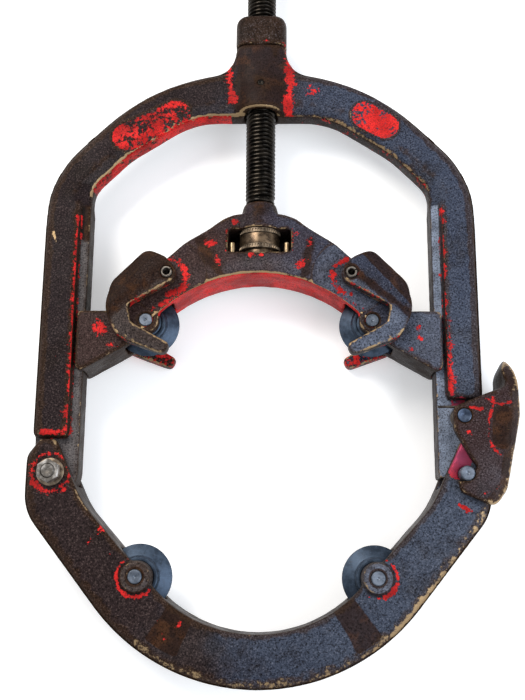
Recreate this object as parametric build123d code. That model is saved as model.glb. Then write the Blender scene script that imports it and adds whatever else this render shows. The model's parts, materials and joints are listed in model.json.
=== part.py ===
"""Hinged four-wheel pipe cutter, lying on its back.

X runs from the hinge side to the latch side, Y along the feed screw towards its handle, Z out of the
front face. The origin is the axis of the pipe that the four wheels hold, on the cutter's middle plane.
"""
import os
from math import atan2, cos, pi, radians, sin, sqrt, tan

from build123d import *

# Driving dimensions, mm
WHEEL_X = 80.3            # wheel axes, each side of the feed screw
WHEEL_Y = 88.8            # wheel axes, above and below the pipe axis
WHEEL_R = 22.5
WHEEL_HUB_R = 13.7
WHEEL_HUB_HALF = 9.5
PIN_R = 4.76              # 3/8 in pins and bolt
RUN = 0.06                # radial clearance of a running fit

LEG_OUT = 156.0           # outer side of the upper frame's legs
RIDGE_IN = 124.6          # inner side of the rail ridge
RIDGE_OUT = 131.6         # step between the ridge and the leg
RAIL_TOP = 177.0
RAIL_TOUCH = 0.4          # clearance between the rail and the slide
LEG_HALF = 18.0           # half thickness of the legs
RIDGE_HALF = 10.0         # half thickness of the ridge and of the tongues
ARCH_HALF = 12.0          # half thickness of the arch
LIP_HALF = 7.0            # half thickness of the arch's inner lip
LIP_SLOPE = 32.0          # degrees, slope from the lip up to the arch's face
LEG_END_HINGE = 5.4       # the thick leg's end on the hinge side
LEG_END_LATCH = 33.0      # and on the latch side
TONGUE_GAP = 0.4          # side clearance of the tongues in the gate's forks

HINGE = (-141.0, -19.6)
CATCH = (141.0, -19.6)
LATCH_PIVOT = (140.4, 19.4)
GUIDE_PIVOT = (65.2, 121.0)
HINGE_END_R = 15.8        # rounded end of the hinge tongue
FORK_R = 17.6             # floor of the gate's fork, about the hinge bolt
GATE_HALF = 20.5          # half thickness of the gate
GATE_TOP = 3.6            # top of the gate's forks
GATE_SWING_R = 24.8       # the fork's corner keeps inside this radius about the bolt
PIN_BOSS_R = 10.3
PIN_BOSS_HALF = 25.0
CATCH_R = 5.0

SCREW_R = 11.11           # 7/8 in feed screw
JOURNAL_R = 8.0
NUT_SEAM = 308.0          # where the feed nut's dome sits on the boss
NUT_TOP = 334.5
NUT_BODY_R = 13.0
BOSS_DEPTH = 30.0         # the boss and the nut's dome, front to back
BOSS_R = 19.4
BOSS_BOTTOM = 253.5
HUB_Y = 411.0             # tee handle, along the screw
HUB_R = 18.0
HUB_HALF = 19.0
BAR_R = 9.5
BAR_END = 165.0
SPIGOT_R = 7.5            # the arm's reduced end inside the hub

SLIDE_HALF = 18.0
SLIDE_TOP_HALF = 11.0      # the slide's front face steps down to this beside its boss
SLIDE_BOSS_R = 17.2
SLIDE_BOSS_TOP = 181.7
SLIDE_BOSS_TOP_R = 12.0
WINDOW = (-22.8, 140.0, 22.8, 159.6)      # x, y, x, y of the window for the thrust collar
WINDOW_BACK = -15.9
EAR_OUT = 129.2
GUIDE_IN = 18.5           # guide plates, from the slide's face
GUIDE_HALF = 30.0
GUIDE_PIN_R = 4.0
LATCH_IN = 21.0
LATCH_HALF = 29.0
POCKET_R = 23.6           # wheel pockets
POCKET_HALF = 9.8

os.makedirs("parts", exist_ok=True)


def save(name, shape):
    """Write one sub-part to its own STEP file."""
    shape.label = name
    export_step(shape, f"parts/{name}.step")


def rounded(corners):
    """A flat face from its corners (x, y, radius), each one rounded by an arc of that radius."""
    ends = []
    for i, (x, y, r) in enumerate(corners):
        corner = Vector(x, y)
        back = (Vector(*corners[i - 1][:2]) - corner).normalized()
        on = (Vector(*corners[(i + 1) % len(corners)][:2]) - corner).normalized()
        half = radians(back.get_angle(on)) / 2
        reach = r / tan(half) if r else 0
        middle = corner + (back + on).normalized() * (r / sin(half) - r) if r else corner
        ends.append((corner + back * reach, middle, corner + on * reach, r))
    edges = []
    for i, (start, middle, stop, r) in enumerate(ends):
        if r:
            edges.append(Edge.make_three_point_arc(start, middle, stop))
        following = ends[(i + 1) % len(ends)][0]
        if (following - stop).length > 0.001:
            edges.append(Edge.make_line(stop, following))
    return make_face(Wire(edges))


def prism(face, low, high):
    """A flat face raised along Z from low to high."""
    return extrude(Pos(0, 0, low) * face, amount=high - low)


def both_faces(face, low, high):
    """A flat face raised from low to high, and its mirror image behind the middle plane."""
    front = prism(face, low, high)
    return front + mirror(front, about=Plane.XY)


def block(x0, y0, z0, x1, y1, z1):
    """A box between two corners."""
    return Pos((x0 + x1) / 2, (y0 + y1) / 2, (z0 + z1) / 2) * Box(x1 - x0, y1 - y0, z1 - z0)


def disc(x, y, r, low, high):
    """A cylinder along Z."""
    return Pos(x, y, (low + high) / 2) * Cylinder(r, high - low)


def rod_y(r, low, high, x=0, z=0):
    """A cylinder along Y."""
    return Pos(x, (low + high) / 2, z) * Rot(90, 0, 0) * Cylinder(r, high - low)


def rod_x(r, low, high, y=0, z=0):
    """A cylinder along X."""
    return Pos((low + high) / 2, y, z) * Rot(0, 90, 0) * Cylinder(r, high - low)


def other_side(shape):
    """The mirror image across the feed screw."""
    return mirror(shape, about=Plane.YZ)


def two_sided(corners):
    """Corners of a symmetric outline: those of the +X half in order, then their mirror images."""
    return corners + [(-x, y, r) for x, y, r in reversed(corners)]


# ---------------------------------------------------------------- upper frame
def arch_pads(frame):
    """Sink the two blank pads into the arch's front face: a long one and an oval one."""
    floor = ARCH_HALF - 1.0
    long_pad = Pos(-82.2, 242.0) * Rot(0, 0, 27) * SlotOverall(62, 20)
    oval_pad = Pos(85.5, 245.5) * Rot(0, 0, -31) * Ellipse(18.5, 9.6)
    for pad in (long_pad, oval_pad):
        frame -= prism(pad, floor, LEG_HALF + 1)
    return frame


def frame_boss():
    """The boss for the feed nut: flat-fronted at its top, round at its lower lip."""
    top = Plane.XZ.offset(-NUT_SEAM) * RectangleRounded(2 * BOSS_R, BOSS_DEPTH, 10)
    bottom = Plane.XZ.offset(-BOSS_BOTTOM) * Circle(BOSS_R)
    return loft([bottom, top])


def upper_frame():
    """The arch with its boss, two legs with rail ridges, and a tongue below each leg."""
    tongue_end = -40.0
    outside = rounded(two_sided([
        (LEG_OUT, tongue_end, 0), (LEG_OUT, 202.4, 72), (83.8, 275.2, 150), (BOSS_R, 287.0, 19),
        (BOSS_R, 304.0, 0),
    ]))
    inner = two_sided([
        (RIDGE_IN, tongue_end - 1, 0), (RIDGE_IN, 192.3, 20), (98.0, 219.5, 80), (50.0, 250.8, 60),
    ])
    opening = rounded(inner)
    frame = prism(outside, -LEG_HALF, LEG_HALF) - prism(opening, -LEG_HALF - 1, LEG_HALF + 1)
    # the arch is thinner than the legs, and its faces slope down to the inner lip
    ramp = Plane.YZ * make_face(Polyline((160, LEG_HALF), (204, ARCH_HALF), (320, ARCH_HALF),
                                         (320, 40), (160, 40), close=True))
    ramp = extrude(ramp, amount=200, both=True)
    lip = extrude(Pos(0, 0, LIP_HALF) * opening, amount=8, taper=LIP_SLOPE - 90)
    lip &= block(-160, RAIL_TOP, 0, 160, 300, 40)
    for cut in (ramp, lip):
        frame -= cut
        frame -= mirror(cut, about=Plane.XY)
    # rail ridges, and the tongues that the gate's forks and the latch straddle
    for side, leg_end in ((1, LEG_END_LATCH), (-1, LEG_END_HINGE)):
        ridge = rounded([(side * 110, tongue_end - 5, 0), (side * 110, RAIL_TOP, 0),
                         (side * RIDGE_OUT, RAIL_TOP, 2.5), (side * RIDGE_OUT, leg_end, 2.5),
                         (side * 170, leg_end, 0), (side * 170, tongue_end - 5, 0)])
        frame -= both_faces(ridge, RIDGE_HALF, LEG_HALF + 20)
    # rounded end of the hinge tongue
    end = block(-170, tongue_end - 5, -20, -110, HINGE[1], 20) - disc(*HINGE, HINGE_END_R, -20, 20)
    frame -= end
    # the latch tongue seats on the catch pin with an open half-round notch
    frame -= block(110, tongue_end - 5, -20, 170, CATCH[1] - 1.5, 20)
    frame -= disc(*CATCH, CATCH_R + 0.5, -20, 20)
    # boss for the latch pin, lower at the front to leave room for the latch spring
    frame += disc(*LATCH_PIVOT, 8.0, -LATCH_IN + 0.3, 14.2)
    frame += frame_boss()
    frame = arch_pads(frame)
    frame -= rod_y(NUT_BODY_R, 258, 320)
    frame -= rod_y(SCREW_R + 1.6, 240, 260)
    frame -= disc(*NUT_PIN, NUT_PIN_R, 5, 30)
    frame -= disc(*HINGE, PIN_R, -30, 30)
    frame -= disc(*LATCH_PIVOT, PIN_R, -30, 30)
    return frame


NUT_PIN = (0.0, 274.2)
NUT_PIN_R = 2.4


def feed_nut():
    """Threaded nut: a block with a domed top, on a round body that fills the frame's boss."""
    height = NUT_TOP - NUT_SEAM
    dome = Pos(0, (NUT_TOP + NUT_SEAM) / 2, 0) * Box(2 * BOSS_R, height, BOSS_DEPTH)
    dome = fillet(dome.edges().filter_by(Axis.Y), 10)
    dome = fillet(dome.faces().sort_by(Axis.Y)[-1].edges(), 7.5)
    nut = dome + rod_y(NUT_BODY_R, 258, NUT_SEAM + 1)
    nut -= rod_y(SCREW_R + RUN, 250, NUT_TOP + 5)
    return nut - disc(*NUT_PIN, NUT_PIN_R, SCREW_R + 0.6, 30)


# ---------------------------------------------------------------- feed screw and its thrust set
COLLAR = (147.6, 156.2)                    # y range of the collar between its two bearings
BEARING = 3.2                              # length of each bearing
COLLAR_R = 15.0


def feed_screw():
    """The threaded rod's outer cylinder, with a journal below and a seat for the handle above."""
    screw = rod_y(SCREW_R, 182.3, HUB_Y - HUB_HALF)
    screw += rod_y(JOURNAL_R, 140.8, 183.0)
    screw += rod_y(BAR_R, HUB_Y - HUB_HALF - 1, HUB_Y + HUB_HALF - 3)
    screw -= rod_x(2.4, -12, 12, y=sum(COLLAR) / 2)
    return screw - disc(0, HUB_Y, 3.0, -30, 30)


def thrust_collar():
    """The collar pinned on the screw's journal."""
    collar = rod_y(COLLAR_R, *COLLAR) - rod_y(JOURNAL_R, 130, 170)
    return collar - rod_x(2.4, -20, 20, y=sum(COLLAR) / 2)


def thrust_bearing(low, high):
    """One needle thrust bearing: a ring with notches between its rollers."""
    ring = rod_y(COLLAR_R + 0.4, low, high) - rod_y(JOURNAL_R, low - 1, high + 1)
    middle, count = (low + high) / 2, 36
    for i in range(count):
        turn = Pos(0, middle, 0) * Rot(0, i * 360 / count, 0)
        ring -= turn * Pos(COLLAR_R + 0.4, 0, 0) * Box(1.2, (high - low) - 1.0, 1.1)
    return ring


def handle_hub():
    """The tee handle's hub on the screw's upper end."""
    hub = rod_y(HUB_R, HUB_Y - HUB_HALF, HUB_Y + HUB_HALF)
    hub = fillet(hub.edges(), 4)
    hub += rod_x(14, -30, 30, y=HUB_Y)
    hub -= rod_y(BAR_R, HUB_Y - HUB_HALF - 1, HUB_Y + HUB_HALF - 3)
    for side in (1, -1):
        hub -= rod_x(SPIGOT_R, *sorted((side * 14, side * 40)), y=HUB_Y)
    return hub - disc(0, HUB_Y, 3.0, -30, 30)


def handle_bar():
    """One arm of the tee handle, its spigot driven into the hub."""
    bar = rod_x(BAR_R, 30, BAR_END, y=HUB_Y) + rod_x(SPIGOT_R, 14, 31, y=HUB_Y)
    return fillet(bar.edges().group_by(Axis.X)[-1], 3)


# ---------------------------------------------------------------- slide
def slide():
    """The carriage: an arched body, forked ears on the rails, wheel pockets and the collar window."""
    eye = (WHEEL_X, WHEEL_Y)
    eye_r, under = 9.5, radians(30)
    low = (eye[0] - eye_r * sin(under), eye[1] - eye_r * cos(under))
    ear_low = low[1] - (EAR_OUT - low[0]) * tan(under)
    arch_r, arch_y = 101.3, 22.2
    half = [
        (17.5, 171.8, 12), (27.0, 168.0, 8), (52.0, 148.5, 30), (67.0, 134.6, 3), (73.0, 129.8, 6),
        (95.5, 109.5, 8), (98.2, 96.0, 1.5), (EAR_OUT, 96.0, 2.5), (EAR_OUT, ear_low, 4),
        (low[0], low[1], 0), (eye[0] - eye_r, low[1] - 3.0, 0), (eye[0] - eye_r, 96.0, 0),
    ]
    body = prism(rounded(two_sided(half)), -SLIDE_HALF, SLIDE_HALF)
    body -= Pos(0, arch_y, 0) * Cylinder(arch_r, 60) & block(-71, 40, -30, 71, 130, 30)
    for side in (1, -1):
        # the eye round each wheel pin
        x0, x1 = sorted((side * (eye[0] - 14), side * low[0]))
        body -= block(x0, 60, -30, x1, eye[1], 30) - disc(side * eye[0], eye[1], eye_r, -31, 31)
    # above the window the front face is lower, and the boss for the screw's journal stands out of it
    step = make_face(Polyline((145, SLIDE_HALF), (160, SLIDE_TOP_HALF), (190, SLIDE_TOP_HALF), (190, 30),
                              (145, 30), close=True))
    body -= extrude(Plane.YZ * step, amount=60, both=True)
    boss = Cone(SLIDE_BOSS_R, SLIDE_BOSS_TOP_R, SLIDE_BOSS_TOP - WINDOW[3])
    body += Pos(0, (SLIDE_BOSS_TOP + WINDOW[3]) / 2, 0) * Rot(-90, 0, 0) * boss
    x0, y0, x1, y1 = WINDOW
    body -= fillet(block(x0, y0, WINDOW_BACK, x1, y1, 30).edges().filter_by(Axis.Z), 1.5)
    body -= rod_y(JOURNAL_R + RUN, 130, 190)
    slot = RIDGE_HALF + 0.3
    for side in (1, -1):
        body -= block(*sorted((side * (RIDGE_IN - RAIL_TOUCH), side * 140))[:1], 40, -slot,
                      *sorted((side * (RIDGE_IN - RAIL_TOUCH), side * 140))[1:], 110, slot)
        body -= disc(side * eye[0], eye[1], POCKET_R, -POCKET_HALF, POCKET_HALF)
        body -= disc(side * eye[0], eye[1], PIN_R, -30, 30)
        pivot = (side * GUIDE_PIVOT[0], GUIDE_PIVOT[1])
        body -= disc(*pivot, GUIDE_PIN_R, -30, 30)
        # pocket for the guide's return spring, open towards the guide's web
        mouth = radians(131 if side < 0 else 49)
        body -= disc(*pivot, 7.4, -4.2, 4.2)
        body -= (Pos(pivot[0] + 8 * cos(mouth), pivot[1] + 8 * sin(mouth)) *
                 Rot(0, 0, mouth * 180 / pi) * Box(18, 5, 8.4))
    return body


# ---------------------------------------------------------------- guides
def guide():
    """The latch-side pipe guide: two hooked plates over the slide, joined by a web outside it."""
    plate = rounded([
        (80.5, 138.5, 7), (66.5, 132.5, 8), (56.6, 122.0, 7), (60.8, 115.4, 4), (92.5, 97.2, 4),
        (89.3, 84.6, 6), (61.5, 69.2, 2.5), (65.0, 61.3, 4), (98.5, 73.6, 16), (108.2, 93.5, 22),
        (104.8, 114.2, 12),
    ])
    web = rounded([
        (79.8, 137.6, 5), (103.0, 113.0, 10), (106.2, 97.2, 0), (99.4, 97.2, 0), (99.2, 104.0, 5),
        (96.5, 111.0, 6), (76.0, 130.0, 0),
    ])
    shape = both_faces(plate, GUIDE_IN, GUIDE_HALF) + prism(web, -GUIDE_IN - 0.5, GUIDE_IN + 0.5)
    shape -= disc(WHEEL_X, WHEEL_Y, WHEEL_R + 0.8, -6, 6)
    return shape - disc(*GUIDE_PIVOT, GUIDE_PIN_R + RUN, -40, 40)


def guide_spring():
    """The latch-side guide's return spring: a coil round the pin and a leg towards the guide's web."""
    coil = disc(*GUIDE_PIVOT, 6.4, -3.6, 3.6) - disc(*GUIDE_PIVOT, GUIDE_PIN_R + 0.3, -5, 5)
    leg_angle = radians(49)
    start = 5.6
    leg = Pos(GUIDE_PIVOT[0] + start * cos(leg_angle), GUIDE_PIVOT[1] + start * sin(leg_angle), 2.8)
    leg = leg * Rot(0, 0, 49) * Rot(0, 90, 0) * Pos(0, 0, 4.0) * Cylinder(0.8, 8.0)
    return coil + leg


# ---------------------------------------------------------------- wheels
def cutter_wheel(x, y):
    """A cutter wheel: a hub and a blade that tapers to its edge."""
    half = [(PIN_R + RUN, -WHEEL_HUB_HALF), (WHEEL_HUB_R, -WHEEL_HUB_HALF), (WHEEL_HUB_R, -4.6),
            (WHEEL_R, -0.3)]
    section = half + [(r, -z) for r, z in reversed(half)]
    profile = Plane.XZ * make_face(Polyline(*section, close=True))
    return Pos(x, y, 0) * revolve(profile, axis=Axis.Z)


# ---------------------------------------------------------------- gate
def fork_slot(side):
    """The slot in one of the gate's ends, wide enough for the tongue at every swing."""
    x, y = side * CATCH[0], HINGE[1]
    half = RIDGE_HALF + TONGUE_GAP
    slot = disc(x, y, FORK_R, -half, half)
    slot += block(min(x - 30, x + 30), y - 4.0, -half, max(x - 30, x + 30), 20, half)
    outer = sorted((x, x + side * 30))
    return slot + block(outer[0], y - 21.4, -half, outer[1], 20, half)


def lower_frame():
    """The gate: a curved yoke with a fork at each end, two wheel pockets and their pin bosses."""
    r_out, y_out = 138.8, -21.3
    r_in, y_in = 95.0, -30.0
    slope = radians(51.3)
    tan_out = (r_out * sin(slope), y_out - r_out * cos(slope))
    tan_in = (r_in * sin(slope), y_in - r_in * cos(slope))
    fork_x = 158.6
    corner_y = tan_out[1] + (fork_x - tan_out[0]) * tan(slope)
    drop = GATE_TOP - HINGE[1]
    top_x = -HINGE[0] + sqrt(GATE_SWING_R ** 2 - drop ** 2)
    flank = rounded([
        (139.0, GATE_TOP, 0), (top_x, GATE_TOP, 1.5), (fork_x, -8.0, 9), (fork_x, corner_y, 34),
        (*tan_out, 0), (*tan_in, 0), (118.6, -40.0, 60),
    ])
    bow = Pos(0, y_out, 0) * Circle(r_out) - Pos(0, y_in, 0) * Circle(r_in)
    below = make_face(Polyline((0, -25), (tan_in[0], tan_in[1]), (tan_out[0], tan_out[1]),
                               (tan_out[0], -170), (-tan_out[0], -170), (-tan_out[0], tan_out[1]),
                               (-tan_in[0], tan_in[1]), close=True))
    yoke = (bow & below) + flank + mirror(flank, about=Plane.YZ)
    gate = prism(yoke, -GATE_HALF, GATE_HALF)
    for side in (1, -1):
        x, y = side * WHEEL_X, -WHEEL_Y
        gate += disc(x, y, PIN_BOSS_R + 0.6, -GATE_HALF, GATE_HALF)
        gate += disc(x, y, PIN_BOSS_R, -PIN_BOSS_HALF, PIN_BOSS_HALF)
        gate -= disc(x, y, POCKET_R, -POCKET_HALF, POCKET_HALF)
        gate -= disc(x, y, PIN_R, -40, 40)
        gate -= fork_slot(side)
    gate -= disc(*HINGE, PIN_R + RUN, -40, 40)
    return gate - disc(*CATCH, CATCH_R, -40, 40)


# ---------------------------------------------------------------- latch
def latch():
    """The latch: two plates over the tongue and the gate, a web outside them and a thumb lever."""
    px, py = LATCH_PIVOT
    plate = rounded([
        (133.0, 25.5, 6), (162.0, 37.5, 8), (171.0, 41.5, 6), (169.4, 54.0, 12), (174.4, 65.0, 1.0),
        (178.8, 54.0, 14), (180.0, 22.0, 60), (168.5, -30.0, 14), (159.5, -42.0, 6),
        (136.0, -32.0, 5), (134.8, -22.6, 0.8), (148.5, -16.0, 0), (143.6, -9.0, 3), (132.6, 10.5, 10),
    ])
    shape = both_faces(plate, LATCH_IN, LATCH_HALF)
    # the web and the lever stay outside the leg and the gate at every swing
    keep = rounded([(161.6, -60, 0), (161.6, 28, 0), (165.5, 36, 0), (165.5, 70, 0), (200, 70, 0),
                    (200, -60, 0)])
    shape += prism(plate, -LATCH_IN - 0.5, LATCH_IN + 0.5) & prism(keep, -30, 30)
    # the lever narrows to a rounded point
    side_view = Spline((33, 30), (42, 24.5), (49, 19.5), (56, 13.5), (61.5, 7.0), (64.2, 0))
    half = make_face([side_view, Polyline((64.2, 0), (-75, 0), (-75, 30), (33, 30))])
    half = extrude(Plane.YZ * half, amount=200)
    shape &= half + mirror(half, about=Plane.XY)
    # bevel the outer side, so that the web has a broad rounded back
    back = rounded([(60, -70, 0), (160.0, -70, 0), (161.0, -42.0, 12), (168.5, -30.0, 14),
                    (180.0, 22.0, 60), (178.8, 54.0, 30), (163, 92, 0), (60, 90, 0)])
    level = LATCH_HALF - 6.5
    bevelled = extrude(Pos(0, 0, level) * back, amount=8, taper=48)
    shape &= prism(back, -level, level) + bevelled + mirror(bevelled, about=Plane.XY)
    # the hook's mouth follows the catch pin's path about the latch pin
    arm = sqrt((CATCH[0] - px) ** 2 + (CATCH[1] - py) ** 2)
    ring = disc(px, py, arm + CATCH_R + 0.3, -40, 40) - disc(px, py, arm - CATCH_R - 0.3, -41, 41)
    start = atan2(CATCH[1] - py, CATCH[0] - px)
    far = 80.0
    sweep = radians(40)
    wedge = make_face(Polyline((px, py), (px + far * cos(start), py + far * sin(start)),
                               (px + far * cos(start - sweep), py + far * sin(start - sweep)), close=True))
    mouth = (ring & prism(wedge, -39, 39)) + disc(*CATCH, CATCH_R + 0.3, -39, 39)
    shape -= mouth
    return shape - disc(px, py, PIN_R + RUN, -40, 40)


def latch_spring():
    """The latch's torsion spring: a coil round the pin and a leg against the web."""
    x, y = LATCH_PIVOT
    coil = disc(x, y, 8.2, 14.8, 20.4) - disc(x, y, PIN_R + 0.3, 10, 30)
    return coil + Pos(x, y + 7.4, 19.4) * Rot(0, 90, 0) * Pos(0, 0, 9) * Cylinder(0.8, 18)


# ---------------------------------------------------------------- fasteners
def hexagon(x, y, flats, low, high):
    """A hexagonal prism along Z."""
    return prism(Pos(x, y) * RegularPolygon(flats / 2, 6, major_radius=False), low, high)


def washer(low, high):
    """A washer on the hinge bolt."""
    return disc(*HINGE, 9.6, low, high) - disc(*HINGE, PIN_R, low - 1, high + 1)


def hinge_bolt():
    """The hinge bolt, its hexagon head at the back."""
    head = hexagon(*HINGE, 14.3, -30.0, -22.3)
    return head + disc(*HINGE, PIN_R, -23, 31.0)


def hinge_nut():
    """The nut on the hinge bolt's front end, its corners turned off."""
    nut = hexagon(*HINGE, 14.3, 22.3, 30.0)
    cone = Pos(*HINGE, 26) * Cone(11.0, 6.6, 9)
    return (nut & cone) - disc(*HINGE, PIN_R, 20, 35)


def main():
    """Build and write every sub-part."""
    save("upper_frame", upper_frame())
    save("feed_nut", feed_nut())
    save("feed_nut_pin", disc(*NUT_PIN, NUT_PIN_R, SCREW_R + 0.6, 17.0))
    save("feed_screw", feed_screw())
    save("thrust_collar", thrust_collar())
    save("collar_pin", rod_x(2.4, -14.4, 14.4, y=sum(COLLAR) / 2))
    seat = COLLAR[0] - BEARING
    save("thrust_washer", rod_y(13.0, WINDOW[1] + 0.1, seat) - rod_y(JOURNAL_R, 130, 170))
    save("thrust_bearing_lower", thrust_bearing(seat, COLLAR[0]))
    save("thrust_bearing_upper", thrust_bearing(COLLAR[1], COLLAR[1] + BEARING))
    save("handle_hub", handle_hub())
    save("handle_pin", disc(0, HUB_Y, 3.0, -17.6, 17.6))
    save("slide", slide())
    save("lower_frame", lower_frame())
    save("latch", latch())
    save("latch_pin", disc(*LATCH_PIVOT, PIN_R, -LATCH_HALF, LATCH_HALF))
    save("latch_spring", latch_spring())
    save("catch_pin", disc(*CATCH, CATCH_R, -LATCH_HALF, LATCH_HALF))
    save("hinge_bolt", hinge_bolt())
    save("hinge_nut", hinge_nut())
    save("hinge_washer_front", washer(GATE_HALF + 0.05, 22.3))
    save("hinge_washer_back", washer(-22.3, -GATE_HALF - 0.05))

    bar, one_guide, spring = handle_bar(), guide(), guide_spring()
    roll_pin = disc(*GUIDE_PIVOT, GUIDE_PIN_R, -GUIDE_HALF, GUIDE_HALF)
    roll_pin -= disc(*GUIDE_PIVOT, 2.9, -40, 40)
    post = fillet(rod_y(1.9, WINDOW[1], 148.5, x=19.8, z=12).edges().sort_by(Axis.Y)[-1], 1.8)
    for name, shape in (("handle_bar", bar), ("guide", one_guide), ("guide_spring", spring),
                        ("guide_pin", roll_pin), ("window_post", post)):
        save(f"{name}_right", shape)
        save(f"{name}_left", other_side(shape))
    for x, side in ((WHEEL_X, "right"), (-WHEEL_X, "left")):
        for y, level, half in ((WHEEL_Y, "upper", SLIDE_HALF), (-WHEEL_Y, "lower", 25.4)):
            save(f"cutter_wheel_{level}_{side}", cutter_wheel(x, y))
            save(f"wheel_pin_{level}_{side}", disc(x, y, PIN_R, -half, half))


main()
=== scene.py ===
"""Looks for the hinged four-wheel pipe cutter: worn dark castings with remains of red paint, ground steel
wheels and pins, and an oily feed screw. Lengths in this file are millimetres until they reach a mesh."""
import json
from math import cos, pi, radians, sin, tan

import bmesh
import bpy
import numpy as np
from mathutils import Matrix, Vector, noise


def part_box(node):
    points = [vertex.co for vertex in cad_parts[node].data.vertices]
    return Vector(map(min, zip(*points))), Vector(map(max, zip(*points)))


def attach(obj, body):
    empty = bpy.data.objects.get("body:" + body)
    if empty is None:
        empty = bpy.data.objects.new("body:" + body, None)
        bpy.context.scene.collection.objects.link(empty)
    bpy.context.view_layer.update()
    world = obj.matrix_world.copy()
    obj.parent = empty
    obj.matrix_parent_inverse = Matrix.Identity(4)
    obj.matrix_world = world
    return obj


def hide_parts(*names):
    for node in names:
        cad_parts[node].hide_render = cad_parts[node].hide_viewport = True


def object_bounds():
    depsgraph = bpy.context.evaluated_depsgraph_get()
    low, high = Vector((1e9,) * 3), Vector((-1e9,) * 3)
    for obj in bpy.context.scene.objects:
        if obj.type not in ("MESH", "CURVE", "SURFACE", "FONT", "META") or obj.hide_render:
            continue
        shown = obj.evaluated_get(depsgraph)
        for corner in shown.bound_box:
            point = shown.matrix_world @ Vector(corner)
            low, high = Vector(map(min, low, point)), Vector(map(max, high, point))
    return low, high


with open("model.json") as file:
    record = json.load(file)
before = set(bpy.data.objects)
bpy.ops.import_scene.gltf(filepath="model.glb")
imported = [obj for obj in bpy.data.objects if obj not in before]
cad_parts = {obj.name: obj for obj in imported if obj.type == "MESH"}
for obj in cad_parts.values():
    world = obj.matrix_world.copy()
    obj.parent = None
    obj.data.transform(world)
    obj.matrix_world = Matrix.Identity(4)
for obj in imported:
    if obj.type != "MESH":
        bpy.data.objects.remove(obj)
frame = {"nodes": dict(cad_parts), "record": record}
CAD_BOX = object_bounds()
MM = 0.001
RECORD = frame["record"]
BODY = {node: body for body, nodes in RECORD["behaviour"]["bodies"].items() for node in nodes}


def centre(node):
    """The middle of a node's box, mm."""
    low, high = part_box(node)
    return [(a + b) / 2 / MM for a, b in zip(low, high)]


def span(node, axis):
    """A node's lowest and highest coordinate along one axis, mm."""
    low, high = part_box(node)
    return low[axis] / MM, high[axis] / MM


def joint(name):
    """A joint's point, mm."""
    found = next(j for j in RECORD["behaviour"]["joints"] if j["name"] == name)
    return [v / MM for v in found["pos_m"]]


HINGE = joint("gate_swing")
LATCH_PIVOT = joint("latch_swing")
GUIDE = joint("guide_right_swing")
WHEEL = centre("cutter_wheel_upper_right")
SCREW_R = (span("feed_screw", 0)[1] - span("feed_screw", 0)[0]) / 2
PITCH = 2 * pi * RECORD["behaviour"]["couplings"][0]["ratio"] / MM


# ------------------------------------------------------------------ mesh helpers
def add_object(name, verts, faces, sharp=32):
    """A mesh object from points in mm, smooth but for edges sharper than an angle in degrees."""
    mesh = bpy.data.meshes.new(name)
    mesh.from_pydata([[c * MM for c in v] for v in verts], [], faces)
    bm = bmesh.new()
    bm.from_mesh(mesh)
    bmesh.ops.remove_doubles(bm, verts=bm.verts, dist=2e-6)
    bmesh.ops.dissolve_degenerate(bm, edges=bm.edges, dist=1e-6)
    bmesh.ops.recalc_face_normals(bm, faces=bm.faces)
    bm.to_mesh(mesh)
    bm.free()
    mesh.shade_smooth()
    if sharp:
        mesh.set_sharp_from_angle(angle=radians(sharp))
    obj = bpy.data.objects.new(name, mesh)
    bpy.context.scene.collection.objects.link(obj)
    return obj


def stand_for(obj, node, material):
    """Let a piece stand for a node: it rides on the node's body and the node is hidden in its place."""
    obj.data.materials.clear()
    obj.data.materials.append(material)
    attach(obj, BODY[node])
    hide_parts(node)
    return obj


def soften(points, radius, steps=3, ends=False):
    """Round the corners of an open profile by a radius, or by a list of radii."""
    radii = radius if isinstance(radius, (list, tuple)) else [radius] * len(points)
    out = []
    for i, (x, y) in enumerate(points):
        inner = 0 < i < len(points) - 1
        r = radii[i]
        if (not inner and not ends) or r <= 0:
            out.append((x, y))
            continue
        a = Vector(points[i - 1]) - Vector((x, y))
        b = Vector(points[(i + 1) % len(points)]) - Vector((x, y))
        half = a.angle(b) / 2
        if half > radians(89):
            out.append((x, y))
            continue
        reach = min(r / tan(half), a.length * 0.48, b.length * 0.48)
        r = reach * tan(half)
        a.normalize()
        b.normalize()
        middle = Vector((x, y)) + (a + b).normalized() * (r / sin(half))
        start = Vector((x, y)) + a * reach - middle
        stop = Vector((x, y)) + b * reach - middle
        turn = start.angle_signed(stop)
        for k in range(steps + 1):
            p = Matrix.Rotation(-turn * k / steps, 2) @ start + middle
            out.append((p.x, p.y))
    return out


def turned(name, profile, at, axis="Z", n=72, sharp=32):
    """Turn a profile of (radius, height) points about an axis through a point."""
    verts, rings = [], []
    for r, h in profile:
        count = 1 if r < 1e-6 else n
        rings.append([len(verts) + k for k in range(count)])
        verts += [(r * cos(2 * pi * k / n), r * sin(2 * pi * k / n), h) for k in range(count)]
    pairs = list(zip(rings, rings[1:]))
    if profile[0][0] > 1e-6:
        pairs.append((rings[-1], rings[0]))
    faces = []
    for low, high in pairs:
        for k in range(n):
            loop = [low[k % len(low)], low[(k + 1) % len(low)], high[(k + 1) % len(high)],
                    high[k % len(high)]]
            loop = [v for i, v in enumerate(loop) if v not in loop[:i]]
            if len(loop) > 2:
                faces.append(loop)
    if axis == "Y":
        verts = [(x, z, -y) for x, y, z in verts]
    elif axis == "X":
        verts = [(z, y, -x) for x, y, z in verts]
    verts = [[a + b for a, b in zip(v, at)] for v in verts]
    return add_object(name, verts, faces, sharp)


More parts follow.
